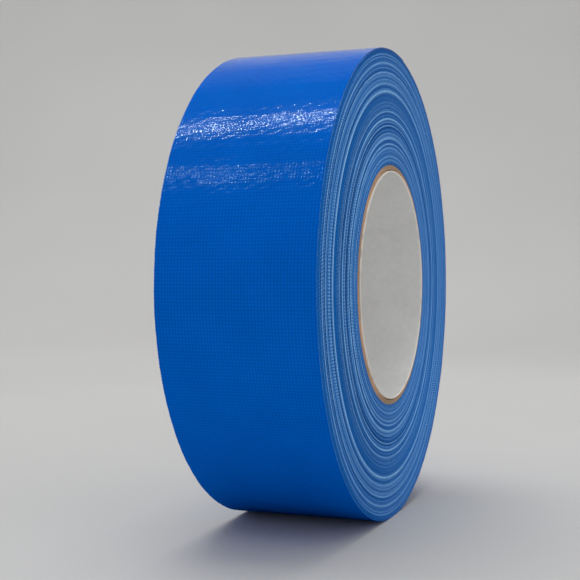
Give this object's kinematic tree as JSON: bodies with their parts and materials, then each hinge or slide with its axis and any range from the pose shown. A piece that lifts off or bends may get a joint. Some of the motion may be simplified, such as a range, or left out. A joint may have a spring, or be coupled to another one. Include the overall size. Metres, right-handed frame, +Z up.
{
  "type": "duct tape roll",
  "caption": "Roll of blue cloth-backed adhesive tape wound on a paper core, standing on its rim, with a free end that peels back.",
  "frame": {"origin": "centre of the core's bore, midway across the roll's width", "axes": "+Y along the bore axis, away from the near side face; +Z up, with the roll standing on its rim on its small rest flat; +X level, the way the tape's free end points over the top"},
  "size_m": [0.1577, 0.05, 0.1577],
  "materials": {
    "liner_paper": "matte",
    "kraft_paper": "matte",
    "tape_winding": "satin",
    "tape_film": "gloss",
    "scrim_cloth": "matte",
    "adhesive": "satin"
  },
  "bodies": {
    "roll": {"core_liner_ply": "liner_paper", "core_body_ply_1": "kraft_paper", "core_body_ply_2": "kraft_paper", "core_body_ply_3": "kraft_paper", "core_body_ply_4": "kraft_paper", "core_outer_ply": "kraft_paper", "wound_tape": "tape_winding", "last_lap_film": "tape_film", "last_lap_scrim": "scrim_cloth", "last_lap_adhesive": "adhesive"},
    "free_end_1": {"free_end_film_1": "tape_film", "free_end_scrim_1": "scrim_cloth", "free_end_adhesive_1": "adhesive"},
    "free_end_2": {"free_end_film_2": "tape_film", "free_end_scrim_2": "scrim_cloth", "free_end_adhesive_2": "adhesive"},
    "free_end_3": {"free_end_film_3": "tape_film", "free_end_scrim_3": "scrim_cloth", "free_end_adhesive_3": "adhesive"},
    "free_end_4": {"free_end_film_4": "tape_film", "free_end_scrim_4": "scrim_cloth", "free_end_adhesive_4": "adhesive"},
    "free_end_5": {"free_end_film_5": "tape_film", "free_end_scrim_5": "scrim_cloth", "free_end_adhesive_5": "adhesive"},
    "free_end_6": {"free_end_film_6": "tape_film", "free_end_scrim_6": "scrim_cloth", "free_end_adhesive_6": "adhesive"},
    "free_end_7": {"free_end_film_7": "tape_film", "free_end_scrim_7": "scrim_cloth", "free_end_adhesive_7": "adhesive"},
    "free_end_8": {"free_end_film_8": "tape_film", "free_end_scrim_8": "scrim_cloth", "free_end_adhesive_8": "adhesive"}
  },
  "joints": [
    {"name": "peel_1", "type": "hinge", "parent": "roll", "child": "free_end_1", "pos_m": [-0.06133, 0, 0.04974], "axis": [0, -1, 0], "range_deg": [0, 36]},
    {"name": "peel_2", "type": "hinge", "parent": "free_end_1", "child": "free_end_2", "pos_m": [-0.05432, 0, 0.05732], "axis": [0, -1, 0], "range_deg": [0, 12]},
    {"name": "peel_3", "type": "hinge", "parent": "free_end_2", "child": "free_end_3", "pos_m": [-0.04638, 0, 0.06392], "axis": [0, -1, 0], "range_deg": [0, 12]},
    {"name": "peel_4", "type": "hinge", "parent": "free_end_3", "child": "free_end_4", "pos_m": [-0.03765, 0, 0.06943], "axis": [0, -1, 0], "range_deg": [0, 12]},
    {"name": "peel_5", "type": "hinge", "parent": "free_end_4", "child": "free_end_5", "pos_m": [-0.02828, 0, 0.07376], "axis": [0, -1, 0], "range_deg": [0, 12]},
    {"name": "peel_6", "type": "hinge", "parent": "free_end_5", "child": "free_end_6", "pos_m": [-0.01842, 0, 0.07682], "axis": [0, -1, 0], "range_deg": [0, 12]},
    {"name": "peel_7", "type": "hinge", "parent": "free_end_6", "child": "free_end_7", "pos_m": [-0.00824, 0, 0.07857], "axis": [0, -1, 0], "range_deg": [0, 12]},
    {"name": "peel_8", "type": "hinge", "parent": "free_end_7", "child": "free_end_8", "pos_m": [0.00208, 0, 0.07897], "axis": [0, -1, 0], "range_deg": [0, 12]}
  ],
  "couplings": [
    {"joint": "peel_2", "follows": "peel_1", "ratio": 0.33333},
    {"joint": "peel_3", "follows": "peel_1", "ratio": 0.33333},
    {"joint": "peel_4", "follows": "peel_1", "ratio": 0.33333},
    {"joint": "peel_5", "follows": "peel_1", "ratio": 0.33333},
    {"joint": "peel_6", "follows": "peel_1", "ratio": 0.33333},
    {"joint": "peel_7", "follows": "peel_1", "ratio": 0.33333},
    {"joint": "peel_8", "follows": "peel_1", "ratio": 0.33333}
  ]
}
